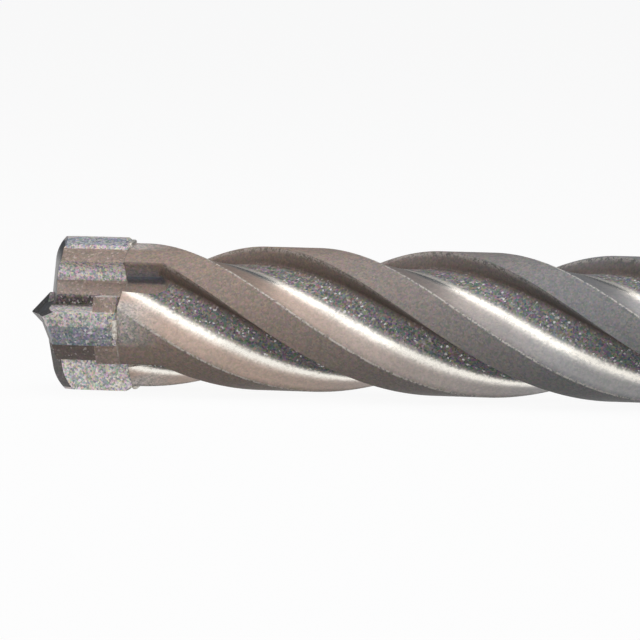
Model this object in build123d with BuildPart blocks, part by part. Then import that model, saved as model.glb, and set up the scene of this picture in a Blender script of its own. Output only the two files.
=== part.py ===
from build123d import *
from math import asin, cos, degrees, radians, sin
import os

# Four-flute masonry drill bit for a rotary hammer, in millimetres.
# The bit lies along X with its point at the -X end. It rests on the ground flat
# of one cutter and on the lands of its body, so Z = 0 is the surface under it.
# Distances along the bit are measured from the point, as a driller measures it.
# Angles round the bit are measured from -Y, rising towards +Z. Seen from -Y with
# the bit turning to drill, the near side moves up, so each cutter leads upwards.

# Overall lengths, measured from the point
overall_length = 250.0
working_length = 200.0

# Steel body
body_diameter = 23.2
helix_lead = 115.0
flute_count = 4
land_angle = 29.0
flute_wall_radius = 8.75
flute_wall_lean = 4.0
flute_crease_radius = 9.25
flute_crease_angle = 38.5
runout_length = 24.0
runout_overlap = 0.5
collar_length = 13.0
shoulder_length = 8.0
collar_chamfer = 0.8

# Carbide head
head_diameter = 25.0
head_length = 17.3
arm_thickness = 5.4
edge_lead = 1.9
relief_drop = 0.3
crease_angle = 2.1
clearance_angle = 20.0
rake_angle = 66.0
edge_inner_height = 2.63
edge_slope = 0.134
edge_bend = 8.5
edge_corner_height = 5.9
point_radius = 3.35
point_height = 3.15
point_flat = 0.12
pad_bevel = 1.2

# Chip pockets between the cutters
hub_radius = 7.4
pocket_back_angle = 36.3
pocket_floor_angle = 55.1
pocket_wall_angle = 58.2
pocket_sag = 0.7
notch_radius = 5.6
pocket_end = 24.8
pocket_end_round = 2.2
cheek_start = 13.5
cheek_angle = 25.8
side_recess = 0.5

# Clocking of the helix to the cutters where the steel begins
helix_offset = -11.0

# Braze between head and body
braze_thickness = 0.25

# Slotted hammer shank: a full round guide next to the shoulder, then a slightly
# smaller stretch with two drive slots open at the end and two closed lock pockets
shank_diameter = 10.0
guide_length = 12.0
slotted_relief = 0.2
shank_chamfer = 0.8
drive_slot_width = 2.8
drive_slot_depth = 2.0
drive_slot_length = 28.0
lock_pocket_radius = 2.8
lock_pocket_depth = 1.7
lock_pocket_length = 20.0
lock_pocket_gap = 8.0

body_radius = body_diameter / 2
head_radius = head_diameter / 2
shank_radius = shank_diameter / 2
slotted_radius = shank_radius - slotted_relief
half_arm = arm_thickness / 2
quarter = 360 / flute_count
reach = head_radius + 2

# The margin of each cutter is the ground flat between its leading corner and the
# crease, and the bit rests on the margin of the lower cutter
lead_corner_angle = degrees(asin(half_arm / head_radius))
margin_middle = (lead_corner_angle + crease_angle) / 2
axis_height = head_radius * cos(radians((lead_corner_angle - crease_angle) / 2))
front_arm_angle = -margin_middle
x_point = -overall_length / 2
steel_start = head_length + braze_thickness
twist_rate = 360 / helix_lead


def polar(radius, angle):
    """A point of a cross-section from its radius and its angle in degrees."""
    return (radius * cos(radians(angle)), radius * sin(radians(angle)))


def station(distance, turn=0.0):
    """The cross-section plane at a distance from the point, X axis at an angle."""
    a = radians(turn)
    return Plane(origin=(x_point + distance, 0, axis_height),
                 x_dir=(0, -cos(a), sin(a)), z_dir=(-1, 0, 0))


def arm_plane(lead, turn):
    """The plane along one cutter: radius, then distance, at an offset to its lead."""
    a = radians(turn)
    side = (0, sin(a), cos(a))
    return Plane(origin=(x_point, lead * side[1], axis_height + lead * side[2]),
                 x_dir=(0, -cos(a), sin(a)), z_dir=side)


def bowed(start, end, sag):
    """An arc from start to end, its middle moved sideways by sag to the left."""
    dx, dy = end[0] - start[0], end[1] - start[1]
    span = (dx * dx + dy * dy) ** 0.5
    middle = ((start[0] + end[0]) / 2 - dy / span * sag, (start[1] + end[1]) / 2 + dx / span * sag)
    return ThreePointArc(start, middle, end)


def land(radius, start_angle, end_angle):
    """An arc about the axis."""
    return ThreePointArc(polar(radius, start_angle), polar(radius, (start_angle + end_angle) / 2),
                         polar(radius, end_angle))


bit_axis = Axis((x_point, 0, axis_height), (1, 0, 0))
# Distance from the point and radius, for turned profiles
axial_plane = Plane(origin=(x_point, 0, axis_height), x_dir=(1, 0, 0), z_dir=(0, -1, 0))

# One cutter of the carbide head with the lobe that backs it up: the ground end
# with its margin and relief flats, the flat leading face, and behind the cutter
# the lobe whose wall is one side of a chip pocket
wall_angle = pocket_wall_angle - quarter
floor_angle = pocket_floor_angle - quarter
back_angle = pocket_back_angle - quarter
arm_side_angle = degrees(asin(half_arm / body_radius))
relief_radius = head_radius - relief_drop
relief_angle = degrees(asin(half_arm / relief_radius))
edge_corner = (head_radius, edge_corner_height)
edge_bend_height = edge_inner_height + edge_slope * edge_bend

with BuildPart() as cutter:
    with BuildSketch(station(point_height - 1, front_arm_angle)):
        with BuildLine():
            land(body_radius, wall_angle, -arm_side_angle)
            Polyline(polar(body_radius, -arm_side_angle), polar(relief_radius, -relief_angle),
                     polar(head_radius, crease_angle), polar(head_radius, lead_corner_angle),
                     (half_arm, half_arm), (0, 0), (half_arm, -half_arm),
                     (half_arm, -notch_radius), polar(hub_radius, back_angle))
            land(hub_radius, back_angle, floor_angle)
            bowed(polar(hub_radius, floor_angle), polar(body_radius, wall_angle), pocket_sag)
        make_face()
    extrude(amount=-(head_length - point_height + 1))
    # The cutting edge, run back along the clearance and down the rake face
    with BuildSketch(arm_plane(edge_lead, front_arm_angle)) as ahead_of_edge:
        with BuildLine():
            edge_line = Line((-1, edge_inner_height - edge_slope), (edge_bend, edge_bend_height))
            TangentArc(edge_line @ 1, edge_corner, tangent=edge_line % 1)
            Polyline(edge_corner, (reach, edge_corner_height + reach - head_radius), (reach, -reach),
                     (-1, -reach), edge_line @ 0)
        make_face()
    lead_side = arm_plane(0, front_arm_angle).z_dir
    back = Vector(1, 0, 0)
    extrude(ahead_of_edge.sketch, amount=2 * reach, mode=Mode.SUBTRACT,
            dir=back * sin(radians(clearance_angle)) - lead_side * cos(radians(clearance_angle)))
    extrude(ahead_of_edge.sketch, amount=reach, mode=Mode.SUBTRACT,
            dir=back * sin(radians(rake_angle)) + lead_side * cos(radians(rake_angle)))

with BuildPart() as carbide_head:
    for turn in range(flute_count):
        add(cutter.part.rotate(bit_axis, -turn * quarter))
    # The centring point is a four-sided pyramid, its ridges in line with the cutters
    with BuildSketch(station(0, front_arm_angle)):
        RegularPolygon(radius=point_flat, side_count=flute_count)
    with BuildSketch(station(point_height, front_arm_angle)):
        RegularPolygon(radius=point_radius, side_count=flute_count)
    loft()
    with BuildSketch(station(point_height, front_arm_angle)):
        RegularPolygon(radius=point_radius, side_count=flute_count)
    extrude(amount=-(head_length - point_height) / 2)
    # The two side cutters have cheeks of carbide ahead of them at the back
    for side in (0, 2):
        with BuildSketch(station(cheek_start, front_arm_angle + side * quarter)):
            with BuildLine():
                land(body_radius, 0, cheek_angle)
                Polyline(polar(body_radius, cheek_angle), polar(hub_radius, pocket_back_angle), (0, 0),
                         polar(body_radius, 0))
            make_face()
        extrude(amount=-(head_length - cheek_start))
        # Behind them the lobe is ground back as far as the cheeks
        with BuildSketch(station(0, front_arm_angle + side * quarter)):
            with BuildLine():
                land(body_radius - side_recess, wall_angle - 1, -arm_side_angle)
                Polyline(polar(body_radius - side_recess, -arm_side_angle),
                         polar(body_radius, -arm_side_angle), polar(reach, wall_angle / 2),
                         polar(reach, wall_angle - 1), polar(body_radius - side_recess, wall_angle - 1))
            make_face()
        extrude(amount=-cheek_start, mode=Mode.SUBTRACT)
    # At the back the cutters are bevelled down to the diameter of the body
    with BuildSketch(axial_plane):
        with BuildLine():
            Polyline((head_length - pad_bevel, head_radius), (head_length, body_radius),
                     (head_length + 1, body_radius), (head_length + 1, reach),
                     (head_length - pad_bevel, reach), (head_length - pad_bevel, head_radius))
        make_face()
    revolve(axis=bit_axis, mode=Mode.SUBTRACT)
carbide_head.part.label = "carbide_head"

# The braze that joins the carbide head to the steel, a thin layer between them
with BuildPart() as braze_seam:
    with BuildSketch(station(head_length, front_arm_angle)):
        for turn in range(flute_count):
            with BuildSketch(mode=Mode.PRIVATE) as lobe:
                with BuildLine():
                    land(body_radius, wall_angle, arm_side_angle)
                    Polyline(polar(body_radius, arm_side_angle), (half_arm, half_arm), (0, 0),
                             (half_arm, -half_arm), (half_arm, -notch_radius),
                             polar(hub_radius, back_angle))
                    land(hub_radius, back_angle, floor_angle)
                    bowed(polar(hub_radius, floor_angle), polar(body_radius, wall_angle), pocket_sag)
                make_face()
            add(lobe.sketch.rotate(Axis.Z, turn * quarter))
    extrude(amount=-braze_thickness)
braze_seam.part.label = "braze_seam"

# The steel body: a bar with four lands, twisted to the lead of the helix. Behind
# each land a steep wall drops to the floor of the flute, which rises over a crease
# to the leading edge of the next land.
trail_angle = helix_offset
lead_angle = helix_offset + land_angle
next_trail = helix_offset + quarter
flute_end = working_length - collar_length
runout_start = flute_end - runout_length
bar_length = flute_end - steel_start

with BuildSketch(station(steel_start, front_arm_angle)) as bar_section:
    with BuildLine():
        for n in range(flute_count):
            a = n * quarter
            land(body_radius, a + trail_angle, a + lead_angle)
            Polyline(polar(body_radius, a + lead_angle),
                     polar(flute_crease_radius, a + next_trail - flute_crease_angle),
                     polar(flute_wall_radius, a + next_trail - flute_wall_lean),
                     polar(body_radius, a + next_trail))
    make_face()

# A chip pocket: a straight groove between two cutters that runs on into the steel
# and ends in the round run-out of its milling cutter
with BuildPart() as chip_pocket:
    with BuildSketch(station(steel_start - 1, front_arm_angle)):
        with BuildLine():
            land(hub_radius, pocket_back_angle, pocket_floor_angle)
            bowed(polar(hub_radius, pocket_floor_angle), polar(body_radius, pocket_wall_angle), pocket_sag)
            Polyline(polar(body_radius, pocket_wall_angle), polar(reach, pocket_wall_angle),
                     polar(reach, pocket_back_angle), polar(hub_radius, pocket_back_angle))
        make_face()
    extrude(amount=-(pocket_end - steel_start + 1))
    # The round of the cutter leaves a floor that rises at the end
    with BuildSketch(axial_plane):
        with BuildLine():
            round_start = (pocket_end - pocket_end_round, hub_radius - pocket_sag)
            round_end = (pocket_end, round_start[1] + pocket_end_round)
            RadiusArc(round_start, round_end, -pocket_end_round)
            Polyline(round_end, (pocket_end, reach), (0, reach), (0, round_start[1]), round_start)
        make_face()
    revolve(axis=bit_axis, mode=Mode.INTERSECT)

# A lock pocket: a trough with round ends, cut across the top of the shank
with BuildPart() as lock_pocket:
    trough_start = x_point + overall_length - lock_pocket_gap - lock_pocket_length
    trough_height = axis_height + slotted_radius - lock_pocket_depth + lock_pocket_radius
    with BuildSketch(Plane(origin=(trough_start, 0, trough_height), z_dir=(1, 0, 0))):
        Circle(lock_pocket_radius)
    extrude(amount=lock_pocket_length)
    with BuildSketch(Plane.XY.offset(trough_height)):
        with Locations((trough_start + lock_pocket_length / 2, 0)):
            SlotOverall(lock_pocket_length, 2 * lock_pocket_radius)
    extrude(amount=lock_pocket_radius, both=True, mode=Mode.INTERSECT)

with BuildPart() as steel_body:
    add(Solid.extrude_linear_with_rotation(
        bar_section.sketch.face().outer_wire(), station(steel_start).origin,
        Vector(bar_length, 0, 0), bar_length * twist_rate))
    # Straight lobes carry the cutters' backs on until the twisted lands reach them
    lobe_end = (pocket_wall_angle - quarter - helix_offset) / -twist_rate
    for turn in range(flute_count):
        with BuildSketch(station(steel_start, front_arm_angle + turn * quarter)):
            with BuildLine():
                land(body_radius, wall_angle, trail_angle)
                Polyline(polar(body_radius, trail_angle), polar(hub_radius - 1, trail_angle),
                         polar(hub_radius - 1, wall_angle), polar(body_radius, wall_angle))
            make_face()
        extrude(amount=-lobe_end)
    # Run-out of the flutes, collar, shoulder and shank in one turned profile
    with BuildSketch(axial_plane):
        with BuildLine():
            shoulder_end = working_length + shoulder_length
            guide_end = shoulder_end + guide_length
            Polyline((runout_start, 0), (runout_start, flute_wall_radius - runout_overlap),
                     (flute_end, body_radius), (working_length - collar_chamfer, body_radius),
                     (working_length, body_radius - collar_chamfer),
                     (shoulder_end, shank_radius), (guide_end, shank_radius),
                     (guide_end + slotted_relief, slotted_radius),
                     (overall_length - shank_chamfer, slotted_radius),
                     (overall_length, slotted_radius - shank_chamfer),
                     (overall_length, 0), (runout_start, 0))
        make_face()
    revolve(axis=bit_axis)
    for turn in range(flute_count):
        add(chip_pocket.part.rotate(bit_axis, -turn * quarter), mode=Mode.SUBTRACT)
    for side in (0, 180):
        add(lock_pocket.part.rotate(bit_axis, side), mode=Mode.SUBTRACT)
        with BuildSketch(station(overall_length - drive_slot_length, side)):
            with Locations((slotted_radius, 0)):
                Rectangle(2 * drive_slot_depth, drive_slot_width)
        extrude(amount=-drive_slot_length, mode=Mode.SUBTRACT)
steel_body.part.label = "steel_body"

os.makedirs("parts", exist_ok=True)
for piece in (steel_body, carbide_head, braze_seam):
    export_step(piece.part, f"parts/{piece.part.label}.step")
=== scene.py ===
# %% [markdown]
# # A four-flute masonry drill bit
#
# The CAD model gives the frame: one bar of milled steel, the carbide cross brazed to its
# front, and the thin braze between them. This lesson puts the looks on it. The flutes and
# the shank are worked out again as fine surfaces with rounded edges, because the solids
# have knife-sharp ones, and every surface gets a finish that follows the photograph.

# %% Load the frame
import math

import bmesh
import bpy
import numpy as np
from mathutils import Matrix, Vector


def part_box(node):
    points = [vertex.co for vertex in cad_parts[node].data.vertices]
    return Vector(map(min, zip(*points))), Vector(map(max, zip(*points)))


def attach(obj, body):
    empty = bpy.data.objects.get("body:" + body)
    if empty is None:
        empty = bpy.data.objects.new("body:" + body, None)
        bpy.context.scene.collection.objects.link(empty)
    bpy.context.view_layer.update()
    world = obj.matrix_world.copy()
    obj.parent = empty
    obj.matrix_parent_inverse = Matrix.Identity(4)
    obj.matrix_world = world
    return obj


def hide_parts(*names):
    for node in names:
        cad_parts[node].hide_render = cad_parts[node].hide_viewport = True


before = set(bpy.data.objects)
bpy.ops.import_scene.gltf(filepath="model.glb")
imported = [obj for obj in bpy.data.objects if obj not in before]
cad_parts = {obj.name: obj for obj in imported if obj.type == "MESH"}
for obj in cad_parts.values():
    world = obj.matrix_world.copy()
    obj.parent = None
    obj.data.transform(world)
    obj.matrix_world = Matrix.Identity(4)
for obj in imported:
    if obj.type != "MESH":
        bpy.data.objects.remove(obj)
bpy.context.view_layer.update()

steel_low, steel_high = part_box("steel_body")
head_low, head_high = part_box("carbide_head")
MM = 0.001
tip_x = head_low.x
axis_z = (steel_low.z + steel_high.z) / 2
body_radius = (steel_high.z - steel_low.z) / 2
steel_start = steel_low.x - tip_x
overall_length = steel_high.x - tip_x
print("body radius", round(body_radius / MM, 3), "mm, steel from", round(steel_start / MM, 2), "mm")

# %% [markdown]
# ## Sizes of the steel
#
# These are the sizes that the solid was made from, apart from the overlap of the pieces and
# the bow of a pocket's end, which only this script has. The helix has a lead of 115 mm, so
# the section turns by 3.13 degrees for each millimetre. Angles are counted round the axis
# from the middle of the near cutter, rising towards the top.

# %% Sizes
flutes = 4
quarter = 360 / flutes
lead = 115 * MM
twist = 360 / lead
front_arm = -7.287
land_trail = -11.0
land_width = 29.0
crease_turn, crease_radius = 51.5, 9.25 * MM
foot_turn, foot_radius = 86.0, 8.75 * MM
lobe_turn = -31.8
lobe_end = steel_start + 6.64 * MM
pocket_back, pocket_floor, pocket_wall = 36.3, 55.1, 58.2
hub_radius = 7.4 * MM
pocket_end, pocket_round = 24.8 * MM, 2.2 * MM
pocket_low = 6.7 * MM
pocket_end_bow = 2.4 * MM
front_end = 27.0 * MM
overlap = 1.0 * MM
flute_end = 187.0 * MM
runout_start = 163.0 * MM
runout_low = 8.25 * MM
working_length = 200.0 * MM
collar_chamfer = 0.8 * MM
shoulder_end = 208.0 * MM
guide_end = 220.0 * MM
shank_radius = 5.0 * MM
slotted_relief = 0.2 * MM
drive_slot = (2.8 * MM, 2.0 * MM, 28.0 * MM)
lock_radius, lock_depth, lock_length, lock_gap = 2.8 * MM, 1.7 * MM, 20.0 * MM, 8.0 * MM
far_off = 40 * MM
print("twist", round(twist * MM, 3), "degrees a millimetre")

# %% [markdown]
# ## Two small tools for rounded edges
#
# A corner of a section is where one line takes over from another. Taking the smaller of
# two radii gives an outside corner, the larger gives an inside corner, and both can be
# softened by a little, which rounds the corner as blasting rounds the real one.


# %% Rounded corners
def soft_min(a, b, blend):
    """The smaller of a and b, less blend/4 where they are equal, fading out as they part by blend."""
    near = np.maximum(blend - np.abs(a - b), 0) / blend
    return np.minimum(a, b) - near * near * blend / 4


def soft_max(a, b, blend):
    """The larger of a and b, plus blend/4 where they are equal, fading out as they part by blend."""
    return -soft_min(-a, -b, blend)


def straight(turn, start, end):
    """The radius at each turn, in degrees, of the line through two polar points: d / cos(turn - normal)."""
    (t0, r0), (t1, r1) = start, end
    x0, y0 = r0 * math.cos(math.radians(t0)), r0 * math.sin(math.radians(t0))
    x1, y1 = r1 * math.cos(math.radians(t1)), r1 * math.sin(math.radians(t1))
    span = math.hypot(x1 - x0, y1 - y0)
    nx, ny = (y1 - y0) / span, -(x1 - x0) / span
    distance = nx * x0 + ny * y0
    a = np.radians(turn)
    facing = nx * np.cos(a) + ny * np.sin(a)
    return distance / np.maximum(facing, distance / far_off)


# %% [markdown]
# ## The section of the bar
#
# Each quarter of the section has a land on the outside, a smooth flank that falls from
# the land's leading edge, a crease, a coarse floor, and a steep wall up to the next
# land. A lathe-like profile won't do, because the section turns along the bar, so the
# radius is a function of how far a point has turned past the land's trailing edge.


# %% The section
def fluted_radius(turn):
    """Radius of the milled bar: the least of the land's arc and the flute, where the flute is the wall
    or the lesser of flank and floor, whichever stands higher. turn is counted from a trailing edge."""
    t = np.mod(turn, quarter)
    flank = straight(t, (land_width, body_radius), (crease_turn, crease_radius))
    floor = straight(t, (crease_turn, crease_radius), (foot_turn, foot_radius))
    wall = straight(t, (foot_turn, foot_radius), (quarter, body_radius))
    wall_behind = straight(t + quarter, (foot_turn, foot_radius), (quarter, body_radius))
    flute = soft_max(soft_min(flank, floor, 0.06 * MM), wall, 0.5 * MM)
    arc = np.full_like(t, body_radius)
    return soft_min(soft_min(arc, flute, 0.16 * MM), np.where(t < 10, wall_behind, far_off), 0.45 * MM)


def band(value, start, end, soft):
    """1 between start and end, falling to 0 over soft on both sides."""
    up = np.clip((value - start) / soft + 0.5, 0, 1)
    down = np.clip((end - value) / soft + 0.5, 0, 1)
    return up * down


def flute_masks(turn):
    """Where each finish of the section lies, as masks from 0 to 1, from the turn past a trailing edge. The
    crease mask carries a painted highlight and the wall mask painted shade.
    """
    t = np.mod(turn, quarter)
    leading_edge = band(t, land_width - 0.9, land_width + 0.7, 0.8)
    trailing_edge = band(t, quarter - 0.7, quarter + 1, 0.7)
    return {
        "flank": band(t, land_width + 1.0, crease_turn, 3.0),
        "crease": np.exp(-((t - crease_turn) / np.where(t < crease_turn, 5.6, 4.4)) ** 2),
        "floor": band(t, crease_turn + 3.0, foot_turn - 4, 9.0),
        "wall": band(t, foot_turn - 5.0, quarter - 0.5, 5.0),
        "edge": leading_edge + 0.5 * trailing_edge,
    }


# %% [markdown]
# ## From radii to a mesh
#
# All the steel is a grid of rings: one ring for each distance from the point, one column
# for each turn round the axis. Flat fans close the two ends, so the piece is a solid
# shell. The masks go with the mesh as attributes, which the materials read.


# %% Grid of rings
def place(along, turn, radius):
    """Points at a distance along the bit, a turn in degrees and a radius, as rows of x, y, z."""
    a = np.radians(turn + front_arm)
    x = tip_x + along + 0 * a
    return np.stack([x, -radius * np.cos(a), axis_z + radius * np.sin(a)], axis=-1)


def grid_faces(rows, columns):
    """The faces of a grid whose columns go once round: four-sided ones between the rows, then two fans,
    whose middles are the two points that follow the grid's own."""
    i, j = np.meshgrid(np.arange(rows - 1), np.arange(columns), indexing="ij")
    k = (j + 1) % columns
    quads = np.stack([i * columns + j, i * columns + k, (i + 1) * columns + k, (i + 1) * columns + j], -1)
    one, two = np.arange(columns), (np.arange(columns) + 1) % columns
    last_row = (rows - 1) * columns
    first = np.stack([np.full(columns, rows * columns), two, one], -1)
    last = np.stack([np.full(columns, rows * columns + 1), last_row + one, last_row + two], -1)
    return quads.reshape(-1, 4).tolist(), first.tolist() + last.tolist()


def closed_shell(name, points, faces, smooth_faces, masks):
    """A linked object whose faces all look outwards, the first smooth_faces of them shaded smooth."""
    mesh = bpy.data.meshes.new(name)
    mesh.from_pydata(points.tolist(), [], faces)
    mesh.polygons.foreach_set("use_smooth", np.arange(len(faces)) < smooth_faces)
    for key, values in masks.items():
        layer = mesh.attributes.new(key, "FLOAT", "POINT")
        layer.data.foreach_set("value", values.astype(np.float32))
    work = bmesh.new()
    work.from_mesh(mesh)
    bmesh.ops.recalc_face_normals(work, faces=work.faces)
    work.to_mesh(mesh)
    work.free()
    piece = bpy.data.objects.new(name, mesh)
    bpy.context.scene.collection.objects.link(piece)
    print(name, sum(len(face) - 2 for face in faces), "triangles")
    return piece


def ring_mesh(name, along, turn, radius, masks):
    """A closed shell from grids of the same shape: rows are rings, columns go once round, ends are fans."""
    ends = place(along[[0, -1], :1], np.zeros((2, 1)), np.zeros((2, 1))).reshape(-1, 3)
    points = np.concatenate([place(along, turn, radius).reshape(-1, 3), ends])
    quads, fans = grid_faces(*radius.shape)
    padded = {key: np.concatenate([np.broadcast_to(values, radius.shape).ravel(), [0.0, 0.0]])
              for key, values in masks.items()}
    return closed_shell(name, points, quads + fans, len(quads), padded)


def tucked(along, radius, start, end):
    """The radius between start and end, with 0.3 mm to spare, and 0.4 mm less beyond that: pieces that
    meet there overlap and dive under each other, so no joint shows in the one bar that they make up."""
    past = np.maximum(start - along, along - end) - 0.3 * MM
    return radius - 0.4 * MM * np.clip(past / (0.5 * MM), 0, 1)


def finished(piece, material, node):
    """Gives a piece its material and its place in the frame."""
    piece.data.materials.clear()
    piece.data.materials.append(material)
    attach(piece, "root")
    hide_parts(node)
    return piece


# %% [markdown]
# ## Shader maths as plain expressions
#
# A material is a graph of nodes. Wrapping each socket in a small class lets the maths
# between them be written as it is on paper, and each operator adds its own Math node.


# %% A socket that does arithmetic
class Flow:
    """One output socket, with arithmetic that adds Math nodes."""

    def __init__(self, graph, socket):
        self.graph, self.socket = graph, socket

    def _math(self, operation, a, b):
        return self.graph.add("ShaderNodeMath", {"operation": operation}, {0: a, 1: b})

    def __add__(self, other):
        return self._math("ADD", self, other)

    def __sub__(self, other):
        return self._math("SUBTRACT", self, other)

    def __mul__(self, other):
        return self._math("MULTIPLY", self, other)

    def __truediv__(self, other):
        return self._math("DIVIDE", self, other)

    def __pow__(self, other):
        return self._math("POWER", self, other)

    def __rsub__(self, other):
        return self._math("SUBTRACT", other, self)

    __radd__ = __add__
    __rmul__ = __mul__

    def clamp(self):
        """The same value, held between 0 and 1."""
        return self.graph.add("ShaderNodeClamp", {}, {"Value": self})

    def above(self, start, end):
        """0 below start, 1 above end, and a straight slope between."""
        inputs = {"Value": self, "From Min": start, "From Max": end}
        return self.graph.add("ShaderNodeMapRange", {"clamp": True}, inputs)


class Graph:
    """The node tree of one new material, or of the world."""

    def __init__(self, owner):
        self.owner = owner
        owner.use_nodes = True
        self.tree = owner.node_tree
        self.tree.nodes.clear()

    def add(self, kind, settings, inputs, output=0):
        """A node of that kind: settings first, then each socket's value or link. Returns one output."""
        node = self.tree.nodes.new(kind)
        for key, value in settings.items():
            setattr(node, key, value)
        for key, value in inputs.items():
            socket = node.inputs[key]
            if isinstance(value, Flow):
                self.tree.links.new(value.socket, socket)
            else:
                socket.default_value = value
        return Flow(self, node.outputs[output])

    def mix(self, factor, a, b):
        """Colour a where factor is 0 and colour b where it is 1."""
        return self.add("ShaderNodeMix", {"data_type": "RGBA"}, {"Factor": factor, 6: a, 7: b}, 2)

    def tint(self, colour, amount):
        """A colour made lighter or darker by a value."""
        settings = {"operation": "SCALE"}
        return self.add("ShaderNodeVectorMath", settings, {0: colour, "Scale": amount})

    def speckle(self, factor, colour, cells):
        """A colour multiplied by the cells' own random colours, as far as factor says."""
        settings = {"data_type": "RGBA", "blend_type": "MULTIPLY"}
        bright = self.tint(cells, 2.0)
        return self.add("ShaderNodeMix", settings, {"Factor": factor, 6: colour, 7: bright}, 2)

    def mask(self, name):
        """A mask that the mesh carries."""
        return self.add("ShaderNodeAttribute", {"attribute_name": name}, {}, "Fac")

    def surface(self, shader, kind="ShaderNodeOutputMaterial"):
        """Ends the graph in its output."""
        node = self.tree.nodes.new(kind)
        self.tree.links.new(shader.socket, node.inputs["Surface"])
        print(self.owner.name, len(self.tree.nodes), "nodes")
        return self.owner


def rgb(red, green, blue):
    """A colour as a node wants it, with full alpha."""
    return (red, green, blue, 1.0)


# %% [markdown]
# ## Blasted steel
#
# The bar is shot-blasted after milling, which leaves grains of about a third of a
# millimetre that catch the light one by one. Noise alone looks like mist, so the tone
# also steps from cell to cell of a Voronoi pattern, and the brightest cells of the floors
# get painted glints. The flute floors are the coarsest, the crease gets a near-white painted
# highlight, the flute walls and the chip pockets get dark painted shade, and the steel is
# browner near the head.

# %% Grain of blasted metal
GRAIN = 3300
COARSE = 1200
browning_start, browning_end = tip_x + 40 * MM, tip_x + 90 * MM
bare_steel, browner_steel = rgb(0.245, 0.24, 0.24), rgb(0.335, 0.255, 0.21)
# The second colour here is painted shade for the flute walls.
floor_grey, painted_wall_shade = rgb(0.185, 0.185, 0.18), rgb(0.085, 0.055, 0.04)
# The first colour here is dark blue painted shade for the chip pockets.
painted_pocket_shade, fresh_steel = rgb(0.06, 0.075, 0.10), rgb(0.50, 0.46, 0.43)
# The first colour here is the near-white painted highlight of the crease.
painted_crease_highlight, worn_edge = rgb(0.97, 0.93, 0.85), rgb(0.72, 0.68, 0.62)


def grain(graph, coords, strength, distance):
    """A blasted surface's tone from 0 to 1, each cell's own value and own colour, and the bump."""
    noise = {"Vector": coords, "Scale": GRAIN, "Detail": 3.0, "Roughness": 0.65}
    fine = graph.add("ShaderNodeTexNoise", {}, noise)
    noise = {"Vector": coords, "Scale": COARSE, "Detail": 2.0, "Roughness": 0.6}
    coarse = graph.add("ShaderNodeTexNoise", {}, noise)
    cells = graph.add("ShaderNodeTexVoronoi", {}, {"Vector": coords, "Scale": GRAIN}, "Color")
    spark = graph.add("ShaderNodeSeparateColor", {}, {"Color": cells})
    tone = (fine * 0.4 + coarse * 0.45 + spark * 0.35).above(0.25, 0.9)
    inputs = {"Strength": strength, "Distance": distance, "Height": fine * 0.6 + coarse * 0.5 + spark * 0.35}
    return tone, spark, cells, graph.add("ShaderNodeBump", {}, inputs)


def blasted_steel(name):
    """The steel's finish: its masks choose the colours, and grain breaks them up."""
    graph = Graph(bpy.data.materials.new(name))
    coords = graph.add("ShaderNodeTexCoord", {}, {}, "Object")
    along = graph.add("ShaderNodeSeparateXYZ", {}, {"Vector": coords})
    crease, floor, flank = graph.mask("crease"), graph.mask("floor"), graph.mask("flank")
    wall, edge, pocket = graph.mask("wall"), graph.mask("edge"), graph.mask("pocket")
    fresh = graph.mask("fresh")
    rough = (floor * 0.5 + 0.5 + fresh * 0.4 - pocket * 0.2 - wall * 0.3 - flank * 0.3).clamp()
    tone, spark, cells, bump = grain(graph, coords, rough * (1 - crease * 0.4), 0.00009)
    # The steel turns browner towards the head.
    brown_near_head = 1 - along.above(browning_start, browning_end)
    colour = graph.mix(brown_near_head, bare_steel, browner_steel)
    colour = graph.mix(floor * 0.8, colour, floor_grey)
    # The chip pockets get dark blue painted shade.
    colour = graph.mix(pocket * 0.9, colour, painted_pocket_shade)
    # The flute walls get very dark brown painted shade.
    colour = graph.mix(wall * 0.8, colour, painted_wall_shade)
    colour = graph.tint(colour, flank * 0.55 + 1)
    colour = graph.mix(fresh * 0.9, colour, fresh_steel)
    contrast = 0.5 + floor * 0.9 + fresh * 0.8 - flank * 0.2
    ground_tone = 0.75 - floor * 0.42 - fresh * 0.4 + flank * 0.1
    colour = graph.tint(colour, tone * contrast + ground_tone)
    colour = graph.speckle(floor * 0.3 + 0.12 - flank * 0.08, colour, cells)
    # The crease gets a near-white painted highlight, and it is made more metallic and smoother there.
    painted_highlight = (crease * (tone * 0.9 + 0.6)).clamp()
    colour = graph.mix(painted_highlight, colour, painted_crease_highlight)
    colour = graph.mix((edge * tone.above(0.35, 0.6)).clamp() * 0.8, colour, worn_edge)
    # Painted glints: the brightest grain cells of the flute floors turn pale grey, and more metallic.
    painted_glint = (spark.above(0.93, 0.99) * floor).clamp()
    colour = graph.mix(painted_glint, colour, rgb(0.75, 0.75, 0.75))
    inputs = {
        "Base Color": colour,
        "Metallic": (0.04 + flank * 0.5 + painted_highlight * 0.9 + painted_glint * 0.5).clamp(),
        "Roughness": (0.55 - flank * 0.15 - painted_highlight * 0.16 - edge * 0.12).clamp(),
        "Normal": bump,
    }
    return graph.surface(graph.add("ShaderNodeBsdfPrincipled", {}, inputs))


steel_finish = blasted_steel("blasted_steel_finish")

# %% [markdown]
# ## The fluted part
#
# Here the columns of the grid turn with the helix, so each edge of a land runs along a
# column and stays crisp. The columns stand close together at the edges and far apart on
# the lands. Where the flutes run out, the cone that the cutter left takes over.

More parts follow.
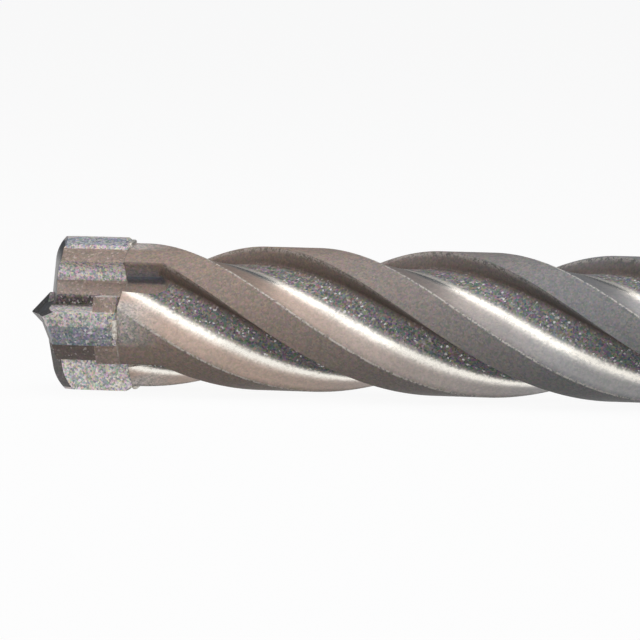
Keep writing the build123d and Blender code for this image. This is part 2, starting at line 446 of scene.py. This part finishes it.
# %% Flutes
stretches = (
    (0, 1.2, 5), (1.2, 27.5, 7), (27.5, 30.5, 8), (30.5, 47, 6), (47, 57, 10),
    (57, 84, 8), (84, 87.5, 8), (87.5, 90, 9),
)
column_turn = np.concatenate([np.linspace(a, b, n, endpoint=False) for a, b, n in stretches])
column_turn = np.concatenate([column_turn + quarter * n for n in range(flutes)])
flute_rows = np.concatenate([
    np.linspace(front_end - overlap, front_end + overlap, 8, endpoint=False),
    np.linspace(front_end + overlap, runout_start, 180, endpoint=False),
    np.linspace(runout_start, flute_end + overlap, 52),
])
row_along, turn_past = np.meshgrid(flute_rows, column_turn, indexing="ij")
runout_depth = body_radius - runout_low
runout_radius = runout_low + runout_depth * (row_along - runout_start) / (flute_end - runout_start)
runout_radius = np.where(row_along < runout_start - 1 * MM, 0, runout_radius)
flute_radius = soft_max(fluted_radius(turn_past), runout_radius, 0.1 * MM)
flute_radius = tucked(row_along, np.minimum(flute_radius, body_radius), front_end, flute_end)
masks = flute_masks(turn_past)
in_flute = 1 - band(row_along, flute_end - 20 * MM, flute_end + 1, 6 * MM)
masks = {key: mask * in_flute for key, mask in masks.items()}
masks["pocket"] = masks["fresh"] = 0 * turn_past
column_place = land_trail + turn_past - twist * (row_along - steel_start)
fluted_bar = ring_mesh("fluted_bar", row_along, column_place, flute_radius, masks)
finished(fluted_bar, steel_finish, "steel_body")

# %% [markdown]
# ## The front of the steel
#
# Behind the head the milling is mixed: straight lobes back up the cutters, the lands
# peel away from them along the helix, and straight chip pockets end in a shallow bow.
# The columns here run straight along the bit, close together everywhere.

# %% Front of the steel
front_rows = np.linspace(steel_start, front_end + overlap, 73)
front_turns = np.linspace(0, 360, 640, endpoint=False)
row_along, turn_here = np.meshgrid(front_rows, front_turns, indexing="ij")
turn_past = turn_here - land_trail + twist * (row_along - steel_start)
radius = fluted_radius(turn_past)
masks = flute_masks(turn_past)

lobe_place = np.mod(turn_here - lobe_turn, quarter)
lobe_wide = land_trail - lobe_turn
lobe = band(lobe_place, 0, lobe_wide, 1.0) * band(row_along, 0, lobe_end, 0.3 * MM)
radius = radius + (body_radius - radius) * lobe
masks = {key: mask * (1 - lobe) for key, mask in masks.items()}

place_in_pocket = np.mod(turn_here, quarter)
side_wall = straight(place_in_pocket, (pocket_floor, hub_radius), (pocket_wall, body_radius))
middle = (place_in_pocket - (pocket_back + pocket_wall) / 2) / ((pocket_wall - pocket_back) / 2)
round_end = pocket_end - pocket_end_bow * (1 - np.sqrt(np.clip(1 - middle * middle, 0, 1)))
rise = np.clip((row_along - (round_end - pocket_round)) / pocket_round, 0, 1)
end_floor = pocket_low + pocket_round * (1 - np.sqrt(1 - rise * rise))
pocket_radius = soft_max(np.maximum(end_floor, hub_radius), side_wall, 0.5 * MM)
in_pocket = band(place_in_pocket, pocket_back, pocket_wall, 0.8) * band(row_along, 0, round_end, 0.2 * MM)
cut = soft_min(radius, pocket_radius, 0.12 * MM)
radius = radius + (cut - radius) * in_pocket
masks = {key: mask * (1 - in_pocket) for key, mask in masks.items()}
# The pocket mask places the dark blue painted shade, strongest from the end of the pocket's floor to its
# side wall.
masks["pocket"] = in_pocket * np.clip((place_in_pocket - pocket_floor + 2) / 3, 0, 1)
arm_place = np.mod(turn_here + quarter / 2, quarter) - quarter / 2
masks["fresh"] = band(arm_place, -12, 24, 6) * band(row_along, 0, steel_start + 4.5 * MM, 6 * MM)
radius = tucked(row_along, radius, 0, front_end)
body_front = ring_mesh("body_front", row_along, turn_here, radius, masks)
finished(body_front, steel_finish, "steel_body")

# %% [markdown]
# ## Collar, shoulder and shank
#
# This part is turned, so its radius depends on the distance alone, apart from the two
# drive slots and the two lock pockets. A slot has parallel sides, so its floor lies at
# d / cos(turn) from the axis.

# %% Shank
profile_along = np.array([flute_end, working_length - collar_chamfer, working_length, shoulder_end,
                          guide_end, guide_end + slotted_relief, overall_length - collar_chamfer,
                          overall_length])
slotted_radius = shank_radius - slotted_relief
profile_radius = np.array([body_radius, body_radius, body_radius - collar_chamfer, shank_radius,
                           shank_radius, slotted_radius, slotted_radius, slotted_radius - collar_chamfer])
shank_rows = np.unique(np.concatenate([
    np.linspace(flute_end - overlap, guide_end, 64),
    np.linspace(guide_end, overall_length, 190),
    profile_along,
]))
shank_turns = np.linspace(0, 360, 360, endpoint=False)
row_along, turn_here = np.meshgrid(shank_rows, shank_turns, indexing="ij")
radius = tucked(row_along, np.interp(row_along, profile_along, profile_radius), flute_end, overall_length)

slot_width, slot_depth, slot_length = drive_slot
slot_turn = np.radians(np.mod(turn_here + front_arm + 90, 180) - 90)
slot_floor = (slotted_radius - slot_depth) / np.cos(slot_turn)
across = slotted_radius * np.abs(np.sin(slot_turn))
in_slot = band(across, -1, slot_width / 2, 0.12 * MM)
in_slot = in_slot * band(row_along, overall_length - slot_length, 1, 0.3 * MM)
radius = radius + np.minimum(slot_floor - radius, 0) * in_slot

lock_turn = np.radians(np.mod(turn_here + front_arm, 180) - 90)
lock_centre = overall_length - lock_gap - lock_length / 2
past_run = np.maximum(np.abs(row_along - lock_centre) - (lock_length / 2 - lock_radius), 0)
reach_across = np.sqrt(np.maximum(lock_radius ** 2 - past_run ** 2, 0))
trough_height = slotted_radius - lock_depth + lock_radius
discriminant = (trough_height * np.cos(lock_turn)) ** 2 - (trough_height ** 2 - lock_radius ** 2)
trough = trough_height * np.cos(lock_turn) - np.sqrt(np.maximum(discriminant, 0))
inside = (discriminant > 0) & (slotted_radius * np.abs(np.sin(lock_turn)) < reach_across)
radius = np.where(inside, np.minimum(radius, np.maximum(trough, slotted_radius - lock_depth)), radius)
masks = {key: 0 * radius for key in ("flank", "crease", "floor", "wall", "edge", "pocket", "fresh")}
shank = ring_mesh("shank", row_along, turn_here, radius, masks)
finished(shank, steel_finish, "steel_body")

# %% [markdown]
# ## The carbide head
#
# The head is made of flats, so the solid already has its shape. A copy is merged into one
# skin, its flat faces are joined up, and a small bevel breaks the edges as tumbling does.
# The faces that look forward are smooth and painted dark as shade, the lands between the
# cutters are smooth and brown, and the ends and sides of the cutters are granular, with
# painted glints. Faces near the axis get painted shade too. Each face gets a mark for the
# finish it has, or for its painted shade.


# %% Head copied from the solid
def bevelled_copy(node, name, width):
    """A merged copy of a CAD node with its edges broken by a narrow bevel."""
    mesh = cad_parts[node].data.copy()
    mesh.name = name
    work = bmesh.new()
    work.from_mesh(mesh)
    bmesh.ops.remove_doubles(work, verts=work.verts, dist=0.002 * MM)
    bmesh.ops.dissolve_limit(work, angle_limit=math.radians(0.6), verts=work.verts, edges=work.edges)
    work.to_mesh(mesh)
    work.free()
    piece = bpy.data.objects.new(name, mesh)
    bpy.context.scene.collection.objects.link(piece)
    mesh.polygons.foreach_set("use_smooth", np.ones(len(mesh.polygons), dtype=bool))
    bevel = piece.modifiers.new("broken_edges", "BEVEL")
    bevel.width, bevel.segments = width, 2
    bevel.limit_method, bevel.angle_limit = "ANGLE", math.radians(24)
    bevel.harden_normals = True
    return piece


def mark_faces(piece):
    """Marks each face by its finish or its painted shade: smooth forward-looking faces that are painted
    dark, a pad on a cutter's end or the relief behind it, a land or a sunk land between cutters, or the
    hub's ledge. Other faces are granular."""
    mesh = piece.data
    count = len(mesh.polygons)
    normals, centres = np.zeros(count * 3), np.zeros(count * 3)
    mesh.polygons.foreach_get("normal", normals)
    mesh.polygons.foreach_get("center", centres)
    normals, centres = normals.reshape(-1, 3), centres.reshape(-1, 3)
    y, z = centres[:, 1], centres[:, 2] - axis_z
    out = np.hypot(y, z)
    outward = (normals[:, 1] * y + normals[:, 2] * z) / np.maximum(out, 1e-6)
    end_face = (out > body_radius - 0.3 * MM) & (outward > 0.9)
    forward = normals[:, 0] < -0.2
    pad = (out > body_radius + 0.25 * MM) & (outward > 0.5)
    inside = (out < hub_radius + 1.2 * MM) & (outward > 0.6)
    turned = np.mod(np.degrees(np.arctan2(z, -y)) - front_arm, quarter)
    ledge = inside & ~forward & (turned > pocket_back - 3) & (turned < pocket_floor + 2)
    relief = pad & (turned > quarter / 2)
    sunk = (out > body_radius - 0.7 * MM) & (outward > 0.9) & ~end_face
    marks = {"ground": forward, "pad": pad, "relief": relief, "land": end_face & ~pad, "hub": ledge,
             "sunk": sunk}
    for key, values in marks.items():
        layer = mesh.attributes.new(key, "FLOAT", "FACE")
        layer.data.foreach_set("value", values.astype(np.float32))
    print(piece.name, count, "faces, of them ground", int(marks["ground"].sum()))


def ground_carbide(name):
    """The head's finish: each face's mark gives its colour, and faces near the axis get dark painted shade.
    """
    graph = Graph(bpy.data.materials.new(name))
    coords = graph.add("ShaderNodeTexCoord", {}, {}, "Object")
    ground, land, sunk = graph.mask("ground"), graph.mask("land"), graph.mask("sunk")
    hub, pad, relief = graph.mask("hub"), graph.mask("pad"), graph.mask("relief")
    place_on = graph.add("ShaderNodeSeparateXYZ", {}, {"Vector": coords}, "Y")
    height_on = graph.add("ShaderNodeSeparateXYZ", {}, {"Vector": coords}, "Z") - axis_z
    out = (place_on * place_on + height_on * height_on) ** 0.5
    # Faces near the axis, other than forward ones and the hub's ledge, get dark painted shade as in a
    # recess.
    painted_deep_shade = (1 - out.above(hub_radius - 0.4 * MM, hub_radius + 0.9 * MM)) * (1 - ground) * (1 - hub)
    coarse = (1 - ground * 0.8 - land * 0.7 - hub * 0.8 - sunk * 0.65).clamp()
    tone, spark, cells, bump = grain(graph, coords, coarse * 0.8 + 0.15, 0.00011)
    # Faces that look forward get dark painted shade in place of the pale grey.
    colour = graph.mix(ground, rgb(0.74, 0.69, 0.66), rgb(0.13, 0.12, 0.115))
    colour = graph.mix(land, colour, rgb(0.335, 0.255, 0.21))
    colour = graph.mix(sunk, colour, rgb(0.15, 0.115, 0.10))
    colour = graph.mix(hub, colour, rgb(0.335, 0.255, 0.215))
    colour = graph.mix(pad, colour, rgb(0.62, 0.575, 0.55))
    colour = graph.mix(relief, colour, rgb(0.36, 0.375, 0.40))
    # Painted shade near the axis.
    colour = graph.mix(painted_deep_shade * 0.9, colour, rgb(0.13, 0.105, 0.095))
    colour = graph.tint(colour, tone * (0.35 + coarse * 1.1) + (0.82 - coarse * 0.55))
    colour = graph.speckle(coarse * 0.2 + 0.05, colour, cells)
    # Painted glints: the brightest cells of the granular faces turn pale grey, and more metallic.
    painted_glint = (spark.above(0.9, 0.98) * coarse).clamp()
    colour = graph.mix(painted_glint, colour, rgb(0.8, 0.79, 0.77))
    inputs = {
        "Base Color": colour,
        "Metallic": (0.06 + coarse * 0.45 * (1 - pad) + ground * 0.4 + painted_glint * 0.4).clamp(),
        "Roughness": (0.42 + coarse * 0.08 - ground * 0.1).clamp(),
        "Normal": bump,
    }
    return graph.surface(graph.add("ShaderNodeBsdfPrincipled", {}, inputs))


carbide_finish = ground_carbide("ground_carbide_finish")
cutter_head = bevelled_copy("carbide_head", "cutter_head", 0.13 * MM)
mark_faces(cutter_head)
finished(cutter_head, carbide_finish, "carbide_head")

# %% [markdown]
# ## Braze
#
# Silver braze fills the joint and shows as a thin line. The CAD piece has its shape
# already, so it only needs its finish: dull, brownish metal with small ripples.

# %% Braze
braze_graph = Graph(bpy.data.materials.new("silver_braze_finish"))
braze_coords = braze_graph.add("ShaderNodeTexCoord", {}, {}, "Object")
ripple = braze_graph.add("ShaderNodeTexNoise", {}, {"Vector": braze_coords, "Scale": 900.0, "Detail": 3.0})
braze_inputs = {
    "Base Color": braze_graph.mix(ripple.above(0.4, 0.6), rgb(0.27, 0.22, 0.19), rgb(0.40, 0.35, 0.30)),
    "Metallic": 0.4,
    "Roughness": 0.42,
    "Normal": braze_graph.add("ShaderNodeBump", {}, {"Strength": 0.5, "Distance": 0.0001, "Height": ripple}),
}
braze_finish = braze_graph.surface(braze_graph.add("ShaderNodeBsdfPrincipled", {}, braze_inputs))
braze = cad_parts["braze_seam"]
braze.data.materials.clear()
braze.data.materials.append(braze_finish)

# %% [markdown]
# ## Braze beads
#
# Behind each cutter the braze stands out as a small bright bar. A bead is an ellipsoid with
# squared shoulders: powers of sine and cosine under 1 fill out its corners.


# %% Beads
def signed_power(value, power):
    """|value| to a power, with the sign of value."""
    return np.sign(value) * np.abs(value) ** power


def bead_mesh(name, half_along, half_across, half_out, bead_radius):
    """Closed superellipsoids, one behind each cutter: x, y and z are powers of cos and sin of two angles."""
    up, around = np.meshgrid(np.linspace(-np.pi / 2, np.pi / 2, 13)[1:-1],
                             np.linspace(0, 2 * np.pi, 24, endpoint=False), indexing="ij")
    wide = signed_power(np.cos(up), 0.5)
    along = half_along * wide * signed_power(np.cos(around), 0.7)
    across = half_across * signed_power(np.sin(up), 0.5)
    outward = half_out * wide * signed_power(np.sin(around), 0.7)
    shell = np.stack([along, across, outward], -1).reshape(-1, 3)
    shell = np.concatenate([shell, [[0, -half_across, 0], [0, half_across, 0]]])
    quads, fans = grid_faces(*up.shape)
    points, faces = [], []
    for n in range(flutes):
        a = math.radians(n * quarter + front_arm)
        out = shell[:, 2] + bead_radius
        y = -out * math.cos(a) + shell[:, 1] * math.sin(a)
        z = axis_z + out * math.sin(a) + shell[:, 1] * math.cos(a)
        points.append(np.stack([head_high.x + shell[:, 0], y, z], -1))
        faces += [[corner + n * len(shell) for corner in face] for face in quads + fans]
    return closed_shell(name, np.concatenate(points), faces, len(faces), {})


bright_graph = Graph(bpy.data.materials.new("bright_braze_finish"))
bright_coords = bright_graph.add("ShaderNodeTexCoord", {}, {}, "Object")
pits = bright_graph.add("ShaderNodeTexNoise", {}, {"Vector": bright_coords, "Scale": 2500.0, "Detail": 3.0})
bright_inputs = {
    "Base Color": bright_graph.mix(pits.above(0.35, 0.6), rgb(0.5, 0.44, 0.37), rgb(0.92, 0.88, 0.80)),
    "Metallic": 0.5,
    "Roughness": 0.35,
    "Normal": bright_graph.add("ShaderNodeBump", {}, {"Strength": 0.6, "Distance": 0.0001, "Height": pits}),
}
bright_finish = bright_graph.surface(bright_graph.add("ShaderNodeBsdfPrincipled", {}, bright_inputs))
beads = bead_mesh("braze_beads", 0.5 * MM, 1.6 * MM, 0.65 * MM, body_radius)
beads.data.materials.append(bright_finish)
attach(beads, "root")

# %% [markdown]
# ## Camera
#
# The photograph looks at the bit from a little above, from the shank's side of the head,
# with a long lens. The camera is aimed at a point on the axis 48 mm behind the point,
# and rolled by a little under half a degree.

# %% Camera
aim = Vector((tip_x + 48.3 * MM, 0, axis_z))
camera_azimuth, camera_elevation, camera_roll = 13.6, 5.25, 0.45
camera_distance = 0.836
az, el = math.radians(camera_azimuth), math.radians(camera_elevation)
direction = Vector((math.sin(az) * math.cos(el), -math.cos(az) * math.cos(el), math.sin(el)))
camera_data = bpy.data.cameras.new("camera")
camera_data.lens, camera_data.sensor_width = 292.0, 36.0
camera_data.clip_end = 100.0
camera = bpy.data.objects.new("camera", camera_data)
bpy.context.scene.collection.objects.link(camera)
look = (-direction).to_track_quat("-Z", "Y").to_matrix().to_4x4()
camera.matrix_world = (Matrix.Translation(aim + direction * camera_distance) @ look
                       @ Matrix.Rotation(math.radians(camera_roll), 4, "Z"))
bpy.context.scene.camera = camera
print("camera at", [round(c, 3) for c in camera.matrix_world.translation])

# %% [markdown]
# ## Floor, world and lights
#
# The floor is so wide that its far edge lies above the picture. To a camera ray or a
# reflection it is nearly white by its own light, and the part of it that is lit keeps
# the shadow. Soft lamps stand above, in front and to the left.


# %% Floor and world
def pale_stage(name, own_light):
    """A matt pale floor that cameras and reflections see as white, with a trace of the real shading."""
    graph = Graph(bpy.data.materials.new(name))
    seen = graph.add("ShaderNodeLightPath", {}, {}, "Is Camera Ray")
    mirrored = graph.add("ShaderNodeLightPath", {}, {}, "Is Glossy Ray")
    through = graph.add("ShaderNodeLightPath", {}, {}, "Is Transmission Ray")
    pale = graph.mix(seen, rgb(0.16, 0.16, 0.16), rgb(0.95, 0.95, 0.95))
    matt = graph.add("ShaderNodeBsdfDiffuse", {}, {"Color": pale})
    white = graph.add("ShaderNodeEmission", {}, {"Color": rgb(1, 1, 1), "Strength": 1.0})
    factor = (seen + mirrored + through).clamp() * own_light
    return graph.surface(graph.add("ShaderNodeMixShader", {}, {0: factor, 1: matt, 2: white}))


floor_half = 30.0
corners = np.array([(-1, -1), (1, -1), (1, 1), (-1, 1)]) * floor_half
floor_mesh = bpy.data.meshes.new("floor")
floor_mesh.from_pydata([(x, y, 0.0) for x, y in corners.tolist()], [], [(0, 1, 2, 3)])
floor = bpy.data.objects.new("floor", floor_mesh)
bpy.context.scene.collection.objects.link(floor)
floor_mesh.materials.append(pale_stage("pale_floor", 0.93))

world = bpy.data.worlds.new("studio")
bpy.context.scene.world = world
world_graph = Graph(world)
seen_world = world_graph.add("ShaderNodeLightPath", {}, {}, "Is Camera Ray")
dim_blue = world_graph.add("ShaderNodeBackground", {}, {"Color": rgb(0.075, 0.09, 0.11)})
plain_white = world_graph.add("ShaderNodeBackground", {}, {"Color": rgb(1, 1, 1)})
shown = world_graph.add("ShaderNodeMixShader", {}, {0: seen_world, 1: dim_blue, 2: plain_white})
world_graph.surface(shown, "ShaderNodeOutputWorld")


# %% Lights
def soft_lamp(name, place_at, size, watts, colour):
    """A square area lamp aimed at the middle of the view."""
    data = bpy.data.lights.new(name, "AREA")
    data.size, data.energy, data.color = size, watts, colour
    lamp = bpy.data.objects.new(name, data)
    bpy.context.scene.collection.objects.link(lamp)
    to_aim = aim - Vector(place_at)
    facing = to_aim.to_track_quat("-Z", "Y").to_matrix().to_4x4()
    lamp.matrix_world = Matrix.Translation(Vector(place_at)) @ facing
    print(name, watts, "W")


soft_lamp("key_above", (-0.02, 0.02, 0.80), 0.8, 2.9, (1.0, 0.97, 0.95))
soft_lamp("soft_front", (0.0, -1.45, 0.75), 2.2, 20.0, (1.0, 0.985, 0.97))
soft_lamp("cool_left", (-0.6, -0.2, 0.5), 0.3, 1.0, (0.9, 0.95, 1.0))
bpy.context.scene.view_settings.view_transform = "Standard"
